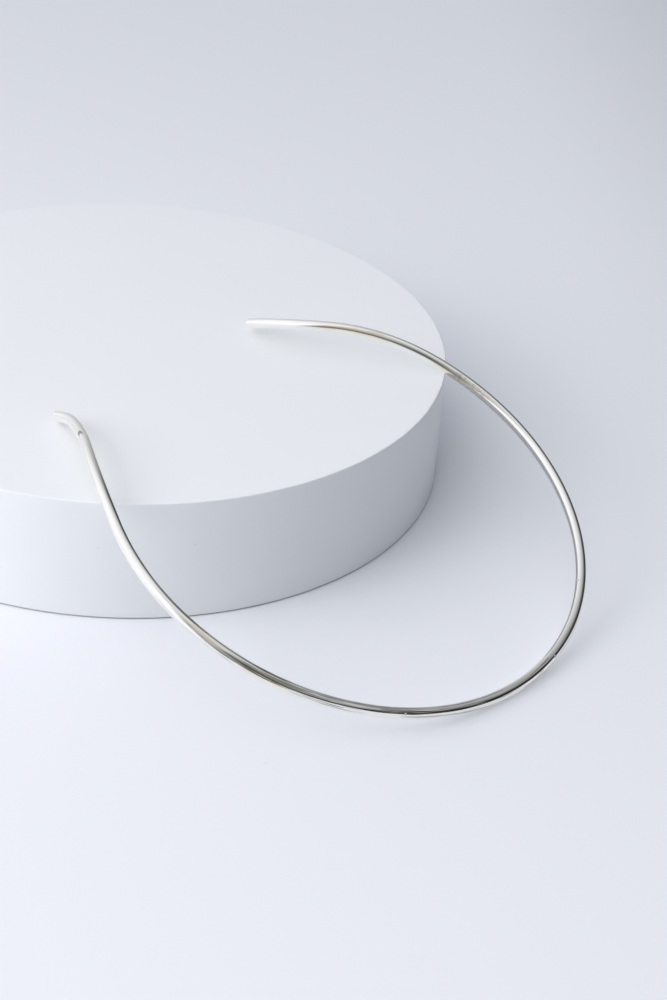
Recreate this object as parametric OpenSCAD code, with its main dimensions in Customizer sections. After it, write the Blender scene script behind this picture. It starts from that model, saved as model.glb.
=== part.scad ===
// Open collar necklace leaning on a low round display plinth.
// The collar is one round wire: most of a circle, whose two arms bend down behind the shoulders
// and flare apart at the nape. Its front lies on the ground, its right arm on the plinth's rim
// and its left tip on the plinth's top. Origin: the middle of the plinth's base. +Z is up and
// the collar's front points towards -Y.

/* [Wire] */
// Diameter of the round wire
wire_d = 3; // [2.4:0.1:3.6]
// Straight length of each cut end
tip_len = 0.6; // [0.6:0.1:3]
// Rounding of the edge of each cut end
tip_round = 0.4; // [0.1:0.1:0.4]

/* [Collar circle] */
// Radius of the collar, to the middle of the wire
collar_r = 64.5; // [60:0.5:70]
// Angle that the circle turns through on each side of the front
collar_a = 112.5; // [105:0.5:120]

/* [Shoulder bends] */
// Radius of the bend where an arm starts to drop behind the shoulder
shoulder_r = 66; // [50:1:80]
// Angle that this bend turns through
shoulder_a = 26; // [22:1:30]
// Side that it bends to: 0 is inward, -90 is down, 180 is outward
shoulder_roll = -54; // [-60:1:-48]
// How much further down the right arm bends here than the left, as the wire is bent by hand
right_drop = 16; // [10:1:20]

/* [Nape bends] */
// Radius of the bend that carries an arm down behind the neck
nape_r = 68; // [50:1:80]
// Angle that this bend turns through
nape_a = 12; // [9:1:15]
// Side that it bends to
nape_roll = -132; // [-140:1:-124]

/* [Flared ends] */
// Radius of the short bend that turns each end away from the neck
flare_r = 22; // [16:1:30]
// Angle that this bend turns through
flare_a = 24; // [20:1:28]
// Side that it bends to
flare_roll = -136; // [-144:1:-128]

/* [Plinth] */
// Diameter of the plinth
plinth_d = 175; // [170:1:180]
// Height of the plinth
plinth_h = 34; // [34:0.5:38]
// Rounding of the plinth's rim
plinth_round = 0.5; // [0.3:0.1:1]

/* [Rest] */
// Where the right arm crosses the plinth's rim, in degrees round the collar from its front
rim_a = 107.8; // [104:0.1:112]
// Sideways place of the collar's front: below 0 is left of the plinth's middle
front_x = -11; // [-20:1:0]
// Sideways lean of the collar: below 0 the right arm is the higher one
lean = -1.4; // [-2:0.1:-1]
// Clearance kept under the wire where it crosses the rim
rest_gap = 0.1; // [0.05:0.05:0.5]

/* [Hidden] */
$fn = 96;

// Columns of a bend table, and each arm's table with a row for each bend behind the circle
RADIUS = 0;
ANGLE = 1;
ROLL = 2;
LEFT_BENDS = [
    [shoulder_r, shoulder_a, shoulder_roll],
    [nape_r, nape_a, nape_roll],
    [flare_r, flare_a, flare_roll],
];
RIGHT_BENDS = [
    [shoulder_r, shoulder_a, shoulder_roll - right_drop],
    LEFT_BENDS[1],
    LEFT_BENDS[2],
];

// The band that covers each seam between two bends: its length, and how far it stands proud
seam_len = 0.2;
seam_proud = 0.005;

// The point of the flat collar that crosses the rim, seen from the collar's front
rim_side = collar_r * sin(rim_a);
rim_reach = collar_r * (1 - cos(rim_a));

// The tilt that lifts this point to the plinth's top
rim_rise = plinth_h + rest_gap;
tilt = asin((rim_rise + rim_side * sin(lean)) / (rim_reach * cos(lean)));

// The place of the collar's front that brings the same point over the rim's edge
rim_x = front_x + rim_side * cos(lean) + rim_reach * sin(tilt) * sin(lean);
front_y = -sqrt(pow(plinth_d / 2, 2) - pow(rim_x, 2)) - rim_reach * cos(tilt);

// The height of the collar's front at which the lowest point of the circle meets the ground
level = cos(tilt) * cos(lean);
front_z = wire_d / 2 + collar_r * sqrt(1 - level * level) - collar_r * cos(lean) * sin(tilt);

// Round bar along +Z from the origin, with its far edge rounded
module bar(d, h, edge) {
    rotate_extrude() {
        square([d / 2 - edge, h]);
        square([d / 2, h - edge]);
        translate([d / 2 - edge, h - edge])
            intersection() {
                circle(r = edge);
                square(edge);
            }
    }
}

// Stretch of wire that leaves the origin along +X and bends towards +Y
module bend(r, a) {
    translate([0, r, 0])
        rotate([0, 0, -90])
            rotate_extrude(angle = a)
                translate([r, 0])
                    circle(d = wire_d);
}

// Puts its children at the far end of such a bend
module after_bend(r, a) {
    translate([r * sin(a), r * (1 - cos(a)), 0])
        rotate([0, 0, a])
            children();
}

// Covers the seam at the origin between two bends, so that all of the wire is one solid
module seam() {
    rotate([0, 90, 0])
        cylinder(d = wire_d + 2 * seam_proud, h = seam_len, center = true);
}

// The bends of one arm from the given row on, each turned by its roll, and the cut end
module arm(bends, row = 0) {
    seam();
    if (row < len(bends)) {
        b = bends[row];
        rotate([b[ROLL], 0, 0]) {
            bend(b[RADIUS], b[ANGLE]);
            after_bend(b[RADIUS], b[ANGLE])
                rotate([-b[ROLL], 0, 0])
                    arm(bends, row + 1);
        }
    } else {
        rotate([0, 90, 0])
            bar(wire_d, tip_len, tip_round);
    }
}

// The collar lying flat, with the middle of its front at the origin
module flat_collar() {
    translate([0, collar_r, 0])
        rotate([0, 0, -90 - collar_a])
            rotate_extrude(angle = 2 * collar_a)
                translate([collar_r, 0])
                    circle(d = wire_d);
    after_bend(collar_r, collar_a)
        arm(RIGHT_BENDS);
    mirror([1, 0, 0])
        after_bend(collar_r, collar_a)
            arm(LEFT_BENDS);
}

module collar_wire() {
    color("silver")
        translate([front_x, front_y, front_z])
            rotate([tilt, lean, 0])
                flat_collar();
}

module plinth() {
    color("white")
        bar(plinth_d, plinth_h, plinth_round);
}

collar_wire();
plinth();
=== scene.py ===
"""Looks of an open silver collar that leans on a round white display plinth.

Lengths are in metres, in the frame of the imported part: the origin is the middle of the plinth's
base, +Z is up and the collar's front points towards -Y. Angles are written in degrees. A bearing
is an angle round the vertical, with 0 along +Y and 90 along +X.
"""

from math import asin, cos, pi, radians, sin, sqrt

import bpy
from mathutils import Matrix, Vector, noise


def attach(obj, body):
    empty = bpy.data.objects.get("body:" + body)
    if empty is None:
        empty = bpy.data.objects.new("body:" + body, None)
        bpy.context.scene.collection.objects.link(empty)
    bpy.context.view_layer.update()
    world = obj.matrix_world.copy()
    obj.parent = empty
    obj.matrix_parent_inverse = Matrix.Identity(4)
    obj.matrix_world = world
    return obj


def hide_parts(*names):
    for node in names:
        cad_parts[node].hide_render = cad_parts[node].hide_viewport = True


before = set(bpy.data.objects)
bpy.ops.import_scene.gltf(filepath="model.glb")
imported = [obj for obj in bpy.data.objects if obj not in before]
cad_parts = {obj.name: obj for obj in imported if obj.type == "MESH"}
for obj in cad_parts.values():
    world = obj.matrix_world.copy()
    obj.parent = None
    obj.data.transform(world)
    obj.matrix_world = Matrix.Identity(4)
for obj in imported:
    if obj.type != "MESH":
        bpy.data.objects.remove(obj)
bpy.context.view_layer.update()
BODY = "root"

# Wire. Its thickness wanders by UNEVEN of itself, with UNEVEN_WAVES to the metre
WIRE_D = 0.003
UNEVEN = 0.012
UNEVEN_WAVES = 55
TIP_LENGTH = 0.0006
TIP_ROUND = 0.0004
TIP_RINGS = 8
WIRE_SIDES = 64
WIRE_STEP = 0.0008

# Bends, each as radius, turn and roll: the collar's half circle, then the bends behind it
COLLAR = (0.0645, 112.5, 0)
LEFT_SHOULDER = (0.066, 26, -54)
RIGHT_SHOULDER = (0.066, 26, -70)
NAPE = (0.068, 12, -132)
FLARE = (0.022, 24, -136)

# Marks on the wire. Places are distances from the left tip along the wire, and turns go round it,
# where 0 faces out of the collar and -90 up. Stretches are given by middle and half length, with
# a turn for tarnish, nicks by place, turn, size and darkness, and the scratch by place and turn.
# Grooves and grime keep to one side of the worn and of the rubbed stretch
WORN = (0.140, 0.075)
RUBBED = (0.294, 0.008)
TARNISH = ((0.091, 0.010, -120), (0.108, 0.008, -60), (0.296, 0.012, 180), (0.329, 0.013, -152))
NICKS = (
    (0.1430, -67, 0.0003, 0.0),
    (0.1927, -79, 0.0004, 0.1),
    (0.2215, -157, 0.0004, 0.2),
)
HOOKED_SCRATCH = (0.0194, -62)
GROOVED_SIDE = -75
GRIMY_SIDE = 170

# Silver
CLEAN_SILVER = (0.975, 0.958, 0.918, 1)
DULL_SILVER = (0.97, 0.935, 0.83, 1)
TARNISH_BROWN = (0.82, 0.66, 0.53, 1)
GRIME = (0.22, 0.20, 0.18, 1)

# Plinth
PLINTH_R = 0.0875
PLINTH_H = 0.034
RIM_ROUND = 0.0003
BASE_ROUND = 0.0005
PLINTH_SIDES = 720
PAINT = ((0.835, 0.858, 0.89, 1), (0.86, 0.878, 0.905, 1))
# Colour of the painted contact shadow along the plinth's base edge
BASE_CONTACT_SHADE = (0.2, 0.2, 0.22, 1)

# Floor, a hair below the plinth, and the depth of the painted shade that darkens it at its far
# right
FLOOR_SIZE = 12
FLOOR_DROP = 0.00002
PAPER = ((0.82, 0.835, 0.89, 1), (0.84, 0.855, 0.905, 1))
FAR_RIGHT_SHADE_DEPTH = 0.16
BLACK = (0, 0, 0, 1)

# Dust specks on the plinth and on the floor
DUST = (0.45, 0.46, 0.48, 1)
DUST_SIZE = 0.00028
PLINTH_DUST = ((-0.0666, -0.0567, 0.0211), (-0.0487, -0.0727, 0.0217), (-0.0209, 0.0004, 0.034))
FLOOR_DUST = ((-0.0795, -0.1261, 0),)

# Rest: the place on the collar that crosses the plinth's rim, and how the collar sits
RIM_ANGLE = 107.8
FRONT_X = -0.011
LEAN = -1.4
REST_GAP = 0.0001

# Camera: what it looks at on the floor, from how far and which way
LOOK_AT = (0.0203, -0.0601, 0)
CAMERA_DISTANCE = 0.6499
CAMERA_BEARING = 51.323
CAMERA_DOWN = 31.434
CAMERA_ROLL = 4.54
LENS_MM = 85

# Windows, each as its middle, the bearing and height that it turns its back to, its size and
# its radiance
LOW_WINDOW = ((-0.585, 0.261, 0.362), -62, 28, (0.55, 0.36), 2.5)
HIGH_WINDOW = ((-0.657, -0.174, 0.90), -75, 50, (1.1, 0.9), 1.66)
WINDOW_LIGHT = (1.02, 1.0, 0.97)

# Room: the bearings over which each wall begins and ends, and the colours
WINDOW_WALL = ((-104, -89), (-35, 130))
BACK_WALL = ((-180, -150), (-100, 60))
LEFT_CORNER = ((-132, -108), (-100, -90))
RIGHT_WALL = ((64, 84), (135, 170))
GLOW = (0.99, 1.0, 1.06, 1)
SHADE = (0.91, 0.985, 1.06, 1)
REFLECTED_SHADE = (0.97, 1.0, 1.02, 1)
BACKDROP = (0.60, 0.62, 0.66, 1)


class Value:
    """An output socket of a node tree. Python's operators on it add Math nodes."""

    def __init__(self, tree, socket):
        self.tree = tree
        self.socket = socket

    def __add__(self, other):
        return self.tree.math("ADD", self, other)

    def __sub__(self, other):
        return self.tree.math("SUBTRACT", self, other)

    def __rsub__(self, other):
        return self.tree.math("SUBTRACT", other, self)

    def __mul__(self, other):
        return self.tree.math("MULTIPLY", self, other)

    __radd__ = __add__
    __rmul__ = __mul__


class Tree:
    """A shader, world or geometry tree, with one method that adds any node to it."""

    def __init__(self, node_tree):
        node_tree.nodes.clear()
        self.node_tree = node_tree

    def node(self, kind, settings=None, inputs=None, output=0):
        """Adds a node of this kind: its settings first, then each socket's value or link."""
        made = self.node_tree.nodes.new(kind)
        for name, setting in (settings or {}).items():
            setattr(made, name, setting)
        for key, value in (inputs or {}).items():
            socket = self.socket(made.inputs, key)
            if isinstance(value, Value):
                self.node_tree.links.new(value.socket, socket)
            else:
                socket.default_value = value
        return Value(self, self.socket(made.outputs, output)) if made.outputs else None

    @staticmethod
    def socket(sockets, key):
        """The socket at this index, or the first one in use that has this name."""
        if isinstance(key, int):
            return sockets[key]
        return next(s for s in sockets if s.enabled and s.name == key)

    def math(self, operation, *values):
        """A sum or another function of numbers."""
        return self.node("ShaderNodeMath", {"operation": operation}, dict(enumerate(values)))

    def step(self, value, low, high):
        """A smooth step from 0 where value is low to 1 where it is high."""
        limits = {"Value": value, "From Min": low, "From Max": high}
        return self.node("ShaderNodeMapRange", {"interpolation_type": "SMOOTHSTEP"}, limits)

    def mix(self, factor, first, second):
        """A colour that turns from the first into the second."""
        colours = {"Factor": factor, "A": first, "B": second}
        return self.node("ShaderNodeMix", {"data_type": "RGBA"}, colours, "Result")

    def part(self, vector, axis):
        """The X, Y or Z of a vector."""
        return self.node("ShaderNodeSeparateXYZ", inputs={"Vector": vector}, output=axis)

    def scaled(self, vector, scale):
        """A vector with its three parts scaled."""
        return self.node("ShaderNodeMapping", inputs={"Vector": vector, "Scale": scale})

    def noise(self, vector, scale, detail=2.0, roughness=0.5):
        """Noise from 0 to 1 with this many waves to the metre."""
        sizes = {"Vector": vector, "Scale": scale, "Detail": detail, "Roughness": roughness}
        return self.node("ShaderNodeTexNoise", inputs=sizes)

    def spot(self, vector, middle, size):
        """1 inside a small ball round middle, falling to 0 at this distance from it."""
        ends = {0: vector, 1: middle}
        gap = self.node("ShaderNodeVectorMath", {"operation": "DISTANCE"}, ends, "Value")
        return 1 - self.step(gap, size * 0.4, size)

    def bump(self, height):
        """The way that a surface with this relief faces, with the relief in metres."""
        inputs = {"Strength": 1.0, "Distance": 1.0, "Height": height}
        return self.node("ShaderNodeBump", inputs=inputs)


def new_object(name, data):
    """An object in the scene, at the origin."""
    made = bpy.data.objects.new(name, data)
    bpy.context.scene.collection.objects.link(made)
    return made


# Collar


def bend(place, radius, turn, roll):
    """Points of a bend that leaves place along its X axis, and the place at its far end."""
    place = place @ Matrix.Rotation(radians(roll), 4, "X")
    steps = round(radius * radians(turn) / WIRE_STEP)
    angles = [radians(turn) * k / steps for k in range(1, steps + 1)]
    points = [place @ Vector((radius * sin(a), radius * (1 - cos(a)), 0)) for a in angles]
    turned = Matrix.Rotation(radians(turn), 4, "Z") @ Matrix.Rotation(radians(-roll), 4, "X")
    turned.translation = (radius * sin(angles[-1]), radius * (1 - cos(angles[-1])), 0)
    return points, place @ turned


def half_collar(shoulder):
    """Middle of the wire from the collar's front to its right tip, with the collar laid flat."""
    place = Matrix.Identity(4)
    points = []
    for radius, turn, roll in (COLLAR, shoulder, NAPE, FLARE):
        stretch, place = bend(place, radius, turn, roll)
        points += stretch
    for k in range(TIP_RINGS + 1):
        inside = TIP_ROUND * (1 - sin(pi / 2 * k / TIP_RINGS))
        points.append(place @ Vector((TIP_LENGTH - inside, 0, 0)))
    return points


def collar_place():
    """Where the flat collar goes: its right arm meets the rim and its front meets the floor."""
    radius, lean, rim = COLLAR[0], radians(LEAN), radians(RIM_ANGLE)
    side, reach = radius * sin(rim), radius * (1 - cos(rim))
    tilt = asin((PLINTH_H + REST_GAP + side * sin(lean)) / (reach * cos(lean)))
    rim_x = FRONT_X + side * cos(lean) + reach * sin(tilt) * sin(lean)
    level = cos(tilt) * cos(lean)
    front_y = -sqrt(PLINTH_R**2 - rim_x**2) - reach * cos(tilt)
    front_z = WIRE_D / 2 + radius * sqrt(1 - level**2) - radius * cos(lean) * sin(tilt)
    turned = Matrix.Rotation(lean, 4, "Y") @ Matrix.Rotation(tilt, 4, "X")
    return Matrix.Translation((FRONT_X, front_y, front_z)) @ turned


def collar_route():
    """Middle of the whole wire, from its left tip round the front to its right tip."""
    right = half_collar(RIGHT_SHOULDER)
    left = [Vector((-p.x, p.y, p.z)) for p in reversed(half_collar(LEFT_SHOULDER))]
    place = collar_place()
    return [place @ p for p in [*left, Vector(), *right]]


def wire_radius(tree, along, half_wire, rounding, unevenness):
    """The wire's radius at each point of a curve, which shrinks as an arc at both cut ends."""
    length = tree.node("GeometryNodeSplineLength", output="Length")
    inside = tree.math("MAXIMUM", rounding - tree.math("MINIMUM", along, length - along), 0)
    arc = tree.math("SQRT", tree.math("MAXIMUM", rounding * rounding - inside * inside, 0))
    wander = tree.noise(tree.node("ShaderNodeCombineXYZ", inputs={"X": along}), UNEVEN_WAVES)
    return (half_wire - rounding + arc) * (1 - unevenness * wander)


def wire_sweep():
    """Geometry nodes that sweep a round wire along a curve and soften its two cut ends."""
    group = bpy.data.node_groups.new("wire_sweep", "GeometryNodeTree")
    sockets = {
        "Route": "NodeSocketGeometry",
        "Wire Diameter": "NodeSocketFloat",
        "End Rounding": "NodeSocketFloat",
        "Unevenness": "NodeSocketFloat",
        "Sides": "NodeSocketInt",
        "Finish": "NodeSocketMaterial",
    }
    for name, kind in sockets.items():
        group.interface.new_socket(name, in_out="INPUT", socket_type=kind)
    group.interface.new_socket("Wire", in_out="OUTPUT", socket_type="NodeSocketGeometry")
    tree = Tree(group)

    def given(name):
        return tree.node("NodeGroupInput", output=name)

    def store(geometry, name, data_type, value):
        settings = {"data_type": data_type, "domain": "POINT"}
        inputs = {"Geometry": geometry, "Name": name, "Value": value}
        return tree.node("GeometryNodeStoreNamedAttribute", settings, inputs)

    def stored(name, data_type):
        settings = {"data_type": data_type}
        return tree.node("GeometryNodeInputNamedAttribute", settings, {"Name": name})

    along = tree.node("GeometryNodeSplineParameter", output="Length")
    half_wire = given("Wire Diameter") * 0.5
    radius = wire_radius(tree, along, half_wire, given("End Rounding"), given("Unevenness"))
    route = store(given("Route"), "along", "FLOAT", along)
    circle = {"Resolution": given("Sides"), "Radius": 1.0}
    profile = tree.node("GeometryNodeCurvePrimitiveCircle", {"mode": "RADIUS"}, circle)
    profile = store(profile, "across", "FLOAT_VECTOR", tree.node("GeometryNodeInputPosition"))
    sweep = {"Curve": route, "Profile Curve": profile, "Scale": radius, "Fill Caps": True}
    wire = tree.node("GeometryNodeCurveToMesh", inputs=sweep)

    # Where each point would be if the wire were straight, which its finish follows
    across = stored("across", "FLOAT_VECTOR")
    parts = {
        "X": stored("along", "FLOAT"),
        "Y": tree.part(across, "X") * half_wire,
        "Z": tree.part(across, "Y") * half_wire,
    }
    unbent = tree.node("ShaderNodeCombineXYZ", inputs=parts)
    wire = store(wire, "unbent", "FLOAT_VECTOR", unbent)
    smooth = {"Geometry": wire, "Shade Smooth": True}
    wire = tree.node("GeometryNodeSetShadeSmooth", inputs=smooth)
    wire = tree.node("GeometryNodeRealizeInstances", inputs={"Geometry": wire})
    finished = {"Geometry": wire, "Material": given("Finish")}
    wire = tree.node("GeometryNodeSetMaterial", inputs=finished)
    tree.node("NodeGroupOutput", inputs={"Wire": wire})
    return group


def grown(base, group, name, **values):
    """The mesh that geometry nodes grow from a curve, as a piece of its own."""
    modifier = base.modifiers.new(name, "NODES")
    modifier.node_group = group
    for socket in group.interface.items_tree:
        if socket.in_out == "INPUT" and socket.name in values:
            modifier[socket.identifier] = values[socket.name]
    evaluated = base.evaluated_get(bpy.context.evaluated_depsgraph_get())
    piece = new_object(name, bpy.data.meshes.new_from_object(evaluated))
    base.modifiers.clear()
    bpy.data.objects.remove(base)
    return piece


def collar_wire(finish):
    """The collar: one round wire swept along its route."""
    points = collar_route()
    route = bpy.data.curves.new("collar_route", "CURVE")
    route.dimensions = "3D"
    spline = route.splines.new("POLY")
    spline.points.add(len(points) - 1)
    for point, place in zip(spline.points, points):
        point.co = (*place, 1)
    sizes = {
        "Wire Diameter": WIRE_D,
        "End Rounding": TIP_ROUND,
        "Unevenness": UNEVEN,
        "Sides": WIRE_SIDES,
        "Finish": finish,
    }
    wire = grown(new_object("collar_route", route), wire_sweep(), "silver_wire", **sizes)
    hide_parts("collar_wire")
    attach(wire, BODY)


# Plinth


def quarter(middle_r, middle_z, radius, start, steps):
    """Points of a quarter circle in the plinth's outline, turning upwards from start degrees."""
    angles = [radians(start + 90 * k / steps) for k in range(steps + 1)]
    return [(middle_r + radius * cos(a), middle_z + radius * sin(a)) for a in angles]


def plinth_outline(rim_round):
    """Half of the plinth's section, from the underside round the rim to half way in on top."""
    # Points at these distances from the roundings keep the shading of the flat faces even
    close, near, far = 0.0003, 0.0015, 0.003
    base = quarter(PLINTH_R - BASE_ROUND, BASE_ROUND, BASE_ROUND, -90, 4)
    side = [(PLINTH_R, BASE_ROUND + close), (PLINTH_R, PLINTH_H - near)]
    rim = quarter(PLINTH_R - rim_round, PLINTH_H - rim_round, rim_round, 0, 8)
    top = [(PLINTH_R - near, PLINTH_H), (PLINTH_R - far, PLINTH_H), (PLINTH_R / 2, PLINTH_H)]
    return [(PLINTH_R - far, 0), *base, *side, *rim, *top]


def plinth(finish):
    """The plinth: a turned disc whose painted rim is a little uneven."""
    verts, faces = [], []
    for k in range(PLINTH_SIDES):
        turn = 2 * pi * k / PLINTH_SIDES
        way = Vector((cos(turn), sin(turn), 0))
        uneven = 0.5 * noise.noise(way * 9) + 0.4 * noise.noise(way * 45)
        verts += [(r * way.x, r * way.y, z) for r, z in plinth_outline(RIM_ROUND * (1 + uneven))]
    rows = len(verts) // PLINTH_SIDES
    base, top = len(verts), len(verts) + 1
    verts += [(0, 0, 0), (0, 0, PLINTH_H)]
    for k in range(PLINTH_SIDES):
        here, there = k * rows, (k + 1) % PLINTH_SIDES * rows
        faces += [(here + j, there + j, there + j + 1, here + j + 1) for j in range(rows - 1)]
        faces += [(there, here, base), (here + rows - 1, there + rows - 1, top)]
    mesh = bpy.data.meshes.new("painted_plinth")
    mesh.from_pydata(verts, [], faces)
    mesh.shade_smooth()
    mesh.materials.append(finish)
    disc = new_object("painted_plinth", mesh)
    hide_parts("plinth")
    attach(disc, BODY)
    return disc


# Finishes


def new_finish(name, **constants):
    """A material with one Principled shader, its tree and a function that links its sockets."""
    material = bpy.data.materials.new(name)
    material.use_nodes = True
    tree = Tree(material.node_tree)
    shader = tree.node("ShaderNodeBsdfPrincipled")
    tree.node("ShaderNodeOutputMaterial", inputs={"Surface": shader})
    sockets = shader.socket.node.inputs
    for key, value in constants.items():
        sockets[key].default_value = value

    def link(socket, value):
        tree.node_tree.links.new(value.socket, sockets[socket])

    return material, tree, link


def wire_point(place, turn):
    """A point on the straight wire's surface, this far along it and at this turn round it."""
    return place, WIRE_D / 2 * cos(radians(turn)), WIRE_D / 2 * sin(radians(turn))


class StraightWire:
    """The surface of the wire as if it were straight, along X from its left tip."""

    def __init__(self, tree):
        self.tree = tree
        self.place = tree.node("ShaderNodeAttribute", {"attribute_name": "unbent"}, output="Vector")

    def noise(self, lengthwise, crosswise, detail=2.0, roughness=0.5):
        """Noise from 0 to 1, with this many waves to the metre along the wire and across it."""
        scaled = self.tree.scaled(self.place, (lengthwise, crosswise, crosswise))
        return self.tree.noise(scaled, 1.0, detail, roughness)

    def stretch(self, middle, half):
        """1 round this place along the wire, falling to 0 at half a stretch to either side."""
        gap = self.tree.math("ABSOLUTE", self.tree.part(self.place, "X") - middle)
        return 1 - self.tree.step(gap, 0.5 * half, half)

    def side(self, turn, low, high):
        """A step from 0 to 1 over these distances from the wire's middle towards this turn."""
        across, up = self.tree.part(self.place, "Y"), self.tree.part(self.place, "Z")
        out = across * cos(radians(turn)) + up * sin(radians(turn))
        return self.tree.step(out, low, high)

    def nick(self, place, turn, size):
        """1 inside a spot on the wire's surface."""
        return self.tree.spot(self.place, wire_point(place, turn), size)

    def hooked_scratch(self, place, turn):
        """1 along a hook: a long spot, with a second one cut out of it towards the right tip."""
        shorten, size, cut_size, cut_shift = 0.35, 0.0008, 0.0009, 0.00045
        shortened = self.tree.scaled(self.place, (shorten, 1, 1))
        whole = self.tree.spot(shortened, wire_point(shorten * place, turn), size)
        cut_middle = wire_point(shorten * place + cut_shift, turn)
        return whole * (1 - self.tree.spot(shortened, cut_middle, cut_size))


def polished_silver():
    """Polished silver: drawing marks along its worn front, warm tarnish, nicks and some grime."""
    material, tree, link = new_finish("polished_silver", Metallic=1.0)
    wire = StraightWire(tree)
    streaks = wire.noise(45, 1300)
    hairlines = wire.noise(50, 4500, roughness=0.6)
    ripple = wire.noise(110, 420)
    worn = wire.stretch(*WORN)
    grooves = tree.step(wire.noise(60, 1500), 0.51, 0.58) * worn
    grooves = grooves * wire.side(GROOVED_SIDE, 0.0004, 0.0012)
    grime = tree.step(wire.noise(900, 1500), 0.52, 0.62) * wire.stretch(*RUBBED)
    grime = grime * wire.side(GRIMY_SIDE, 0, 0.0010)

    nicks = dirt_and_contact_shade = 0
    for place, turn, size, dark in NICKS:
        nick = wire.nick(place, turn, size)
        nicks = nick + nicks
        dirt_and_contact_shade = nick * dark + dirt_and_contact_shade
    dirt_and_contact_shade = dirt_and_contact_shade + wire.hooked_scratch(*HOOKED_SCRATCH) * 2

    tarnish = 0
    for middle, half, turn in TARNISH:
        tarnish = wire.stretch(middle, half) * wire.side(turn, 0.0006, 0.0013) + tarnish
    patches = wire.noise(160, 900, detail=3.0, roughness=0.6)
    warm = tree.step(patches + tarnish * 0.14, 0.52, 0.70)

    silver = tree.mix(tree.math("MINIMUM", tarnish, 1), CLEAN_SILVER, DULL_SILVER)
    silver = tree.mix(warm * (0.06 + 0.25 * tarnish), silver, TARNISH_BROWN)
    marks = dirt_and_contact_shade * 0.8 + grime * 0.25 + grooves * 0.65
    silver = tree.mix(tree.math("MINIMUM", marks, 0.8), silver, GRIME)
    link("Base Color", silver)
    link("Roughness", 0.03 + hairlines * 0.04 + warm * 0.03 + grime * 0.08 + nicks * 0.6)
    relief = streaks * (0.00002 + worn * 0.00022) + hairlines * (0.000002 + worn * 0.00001)
    link("Normal", tree.bump(relief + ripple * 0.000007 - nicks * 0.0001))
    return material


def dusted(tree, place, colour, specks):
    """The colour with a small grey speck at each of these points."""
    dust = 0
    for middle in specks:
        dust = tree.spot(place, middle, DUST_SIZE) + dust
    return tree.mix(dust * 0.4, colour, DUST)


def white_paint():
    """Sprayed white paint with a fine orange peel, a few dust specks and a painted contact shadow
    along its base edge.
    """
    material, tree, link = new_finish("white_paint")
    place = tree.node("ShaderNodeTexCoord", output="Object")
    peel = tree.noise(place, 1300, 3.0, 0.55)
    cloud = tree.noise(place, 30)
    paint = dusted(tree, place, tree.mix(cloud, *PAINT), PLINTH_DUST)
    # Painted contact shadow: the paint darkens over its lowest 0.6 mm, where the plinth stands on
    # the floor
    dirt_and_contact_shade = 0.7 - 0.7 * tree.step(tree.part(place, "Z"), 0.0002, 0.0006)
    link("Base Color", tree.mix(dirt_and_contact_shade, paint, BASE_CONTACT_SHADE))
    link("Roughness", 0.3 + peel * 0.12)
    link("Normal", tree.bump(peel * 0.00001))
    return material


def floor_paper():
    """Smooth pale paper with a dust speck, and painted shade that darkens it at its far right."""
    material, tree, link = new_finish("floor_paper", Roughness=0.6)
    place = tree.node("ShaderNodeTexCoord", output="Object")
    fibre = tree.noise(place, 900, 3.0)
    # Painted shade: the paper's colour is mixed towards black at its far right
    far_right_shade = tree.step(tree.part(place, "X") - tree.part(place, "Y"), 0.20, 0.36)
    paper = tree.mix(FAR_RIGHT_SHADE_DEPTH * far_right_shade, tree.mix(fibre, *PAPER), BLACK)
    link("Base Color", dusted(tree, place, paper, FLOOR_DUST))
    return material


# Studio


def lay_floor():
    """A plain floor that reaches well past the picture."""
    half = FLOOR_SIZE / 2
    sides = ((-half, -half), (half, -half), (half, half), (-half, half))
    mesh = bpy.data.meshes.new("floor")
    mesh.from_pydata([(x, y, -FLOOR_DROP) for x, y in sides], [], [(0, 1, 2, 3)])
    mesh.materials.append(floor_paper())
    floor = new_object("floor", mesh)
    return floor


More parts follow.
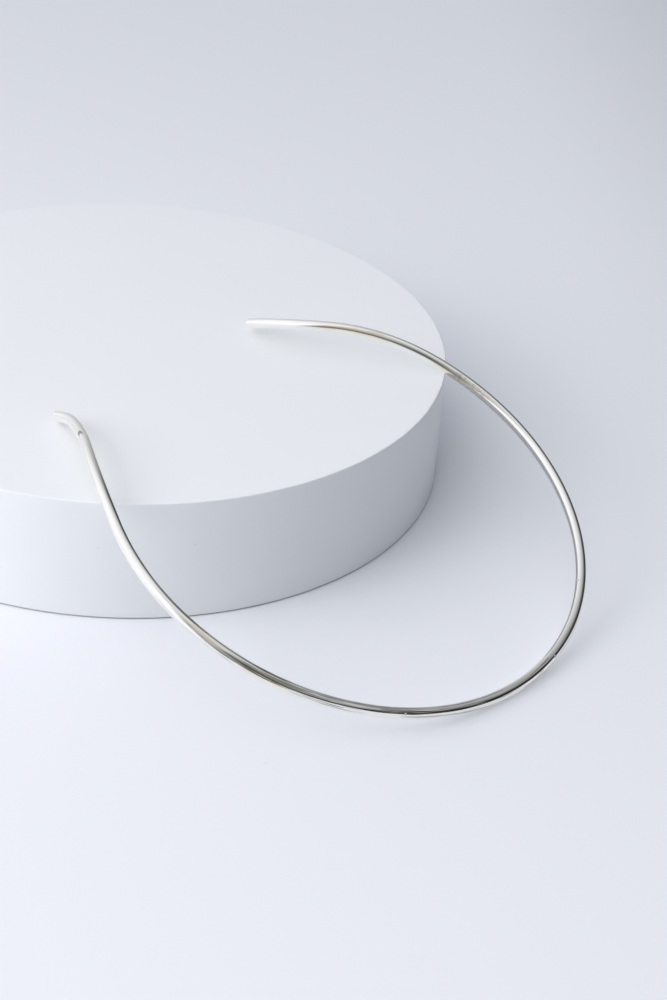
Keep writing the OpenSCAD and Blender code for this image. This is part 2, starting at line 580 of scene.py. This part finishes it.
def light_room():
    """A pale room, given by bearing and height: dim behind the viewer, with one broad window.

    Reflections show its ceiling brighter, and higher over the right wall, and its shade less
    blue. The light that the wire throws onto the plinth and the floor is stronger than the room
    alone would make it.
    """
    world = bpy.data.worlds.new("room")
    bpy.context.scene.world = world
    world.use_nodes = True
    tree = Tree(world.node_tree)
    way = tree.node("ShaderNodeTexCoord", output="Generated")
    bearing = tree.math("ARCTAN2", tree.part(way, "X"), tree.part(way, "Y")) * (180 / pi)
    height = tree.math("ARCSINE", tree.part(way, "Z")) * (180 / pi)

    def path(kind):
        return tree.node("ShaderNodeLightPath", output=kind)

    def wall(begins, ends):
        """1 along a wall that begins and ends over these bearings."""
        return tree.step(bearing, *begins) * (1 - tree.step(bearing, *ends))

    reflected = path("Is Glossy Ray")
    glow = wall(*WINDOW_WALL) * (1 - tree.step(bearing, *RIGHT_WALL[0]))
    behind, left, right = wall(*BACK_WALL), wall(*LEFT_CORNER), wall(*RIGHT_WALL)

    # The walls, which are lighter just over the floor away from the window
    horizon = (1 - tree.step(height, 2, 15)) * (behind + tree.step(bearing, *RIGHT_WALL[1]))
    dim = 0.04 + 0.05 * behind + 0.2 * horizon
    walls = dim + glow * (1.03 - dim)

    # The ceiling, and the heights over which the walls turn into it
    overhead = 0.60 + 0.14 * glow + 0.06 * tree.step(height, 70, 90)
    overhead = overhead + reflected * (0.2 * right + 0.12 * glow)
    low = 28 + 17 * glow - 28 * left - right * (20 - 14 * reflected)
    high = 72 + 18 * glow - 10 * left - right * (6 - 14 * reflected)
    room = walls + tree.step(height, low, high) * (overhead - walls)

    thrown = reflected * tree.math("MINIMUM", path("Diffuse Depth"), 1)
    colour = tree.mix(glow, tree.mix(reflected, SHADE, REFLECTED_SHADE), GLOW)
    lit = {"Color": colour, "Strength": room + 0.3 * thrown}
    light = tree.node("ShaderNodeBackground", inputs=lit)
    backdrop = tree.node("ShaderNodeBackground", inputs={"Color": BACKDROP, "Strength": 1.0})
    seen = {0: path("Is Camera Ray"), 1: light, 2: backdrop}
    shown = tree.node("ShaderNodeMixShader", inputs=seen)
    tree.node("ShaderNodeOutputWorld", inputs={"Surface": shown})


def hang_window(name, place, bearing, tilt, size, radiance):
    """The light of a window on the left, which reflections of the room show already."""
    bearing, tilt = radians(bearing), radians(tilt)
    back = Vector((sin(bearing) * cos(tilt), cos(bearing) * cos(tilt), sin(tilt)))
    window = new_object(name, bpy.data.lights.new(name, "AREA"))
    window.data.shape = "RECTANGLE"
    window.data.size, window.data.size_y = size
    window.data.energy = radiance * size[0] * size[1] * pi
    window.data.color = WINDOW_LIGHT
    turned = back.to_track_quat("Z", "Y").to_matrix().to_4x4()
    window.matrix_world = Matrix.Translation(place) @ turned
    window.visible_glossy = False
    return window


def only_blocked_by(window, *blockers):
    """Lets a window's light past the wire, since a mirror-bright wire casts a weak shadow."""
    shading = bpy.data.collections.new("blockers")
    for blocker in blockers:
        shading.objects.link(blocker)
    window.light_linking.blocker_collection = shading


def aim_camera():
    """The camera, which looks down on the collar from its front left."""
    bearing, down = radians(CAMERA_BEARING), radians(CAMERA_DOWN)
    ahead = Vector((sin(bearing) * cos(down), cos(bearing) * cos(down), -sin(down)))
    camera = new_object("camera", bpy.data.cameras.new("camera"))
    camera.data.lens = LENS_MM
    place = Matrix.Translation(Vector(LOOK_AT) - ahead * CAMERA_DISTANCE)
    turned = ahead.to_track_quat("-Z", "Y").to_matrix().to_4x4()
    roll = Matrix.Rotation(radians(CAMERA_ROLL), 4, "Z")
    camera.matrix_world = place @ turned @ roll
    bpy.context.scene.camera = camera


aim_camera()
collar_wire(polished_silver())
disc = plinth(white_paint())
floor = lay_floor()
light_room()
hang_window("low_window", *LOW_WINDOW)
only_blocked_by(hang_window("high_window", *HIGH_WINDOW), disc, floor)
bpy.context.scene.view_settings.view_transform = "Standard"
